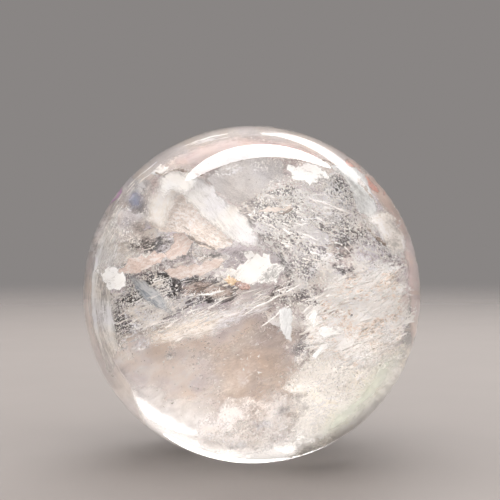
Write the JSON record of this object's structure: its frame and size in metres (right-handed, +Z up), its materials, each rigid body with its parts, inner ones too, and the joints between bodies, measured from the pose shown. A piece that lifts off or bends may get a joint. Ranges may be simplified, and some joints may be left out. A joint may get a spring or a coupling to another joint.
{
  "type": "quartz sphere",
  "caption": "Polished sphere of clear rock crystal with inner veils and fractures, standing on a small ground flat spot.",
  "frame": {"origin": "centre of the flat spot, on the surface that the stone rests on", "axes": "+Z up through the middle of the sphere; -Y is the side that the picture shows; +X is to its right"},
  "size_m": [0.1, 0.1, 0.0994],
  "materials": {
    "clear_quartz": "clear rock crystal with a mirror polish, faintly warm, clouded inside by white and lilac-grey veils"
  },
  "bodies": {
    "root": {"quartz_sphere": "clear_quartz"}
  },
  "joints": []
}
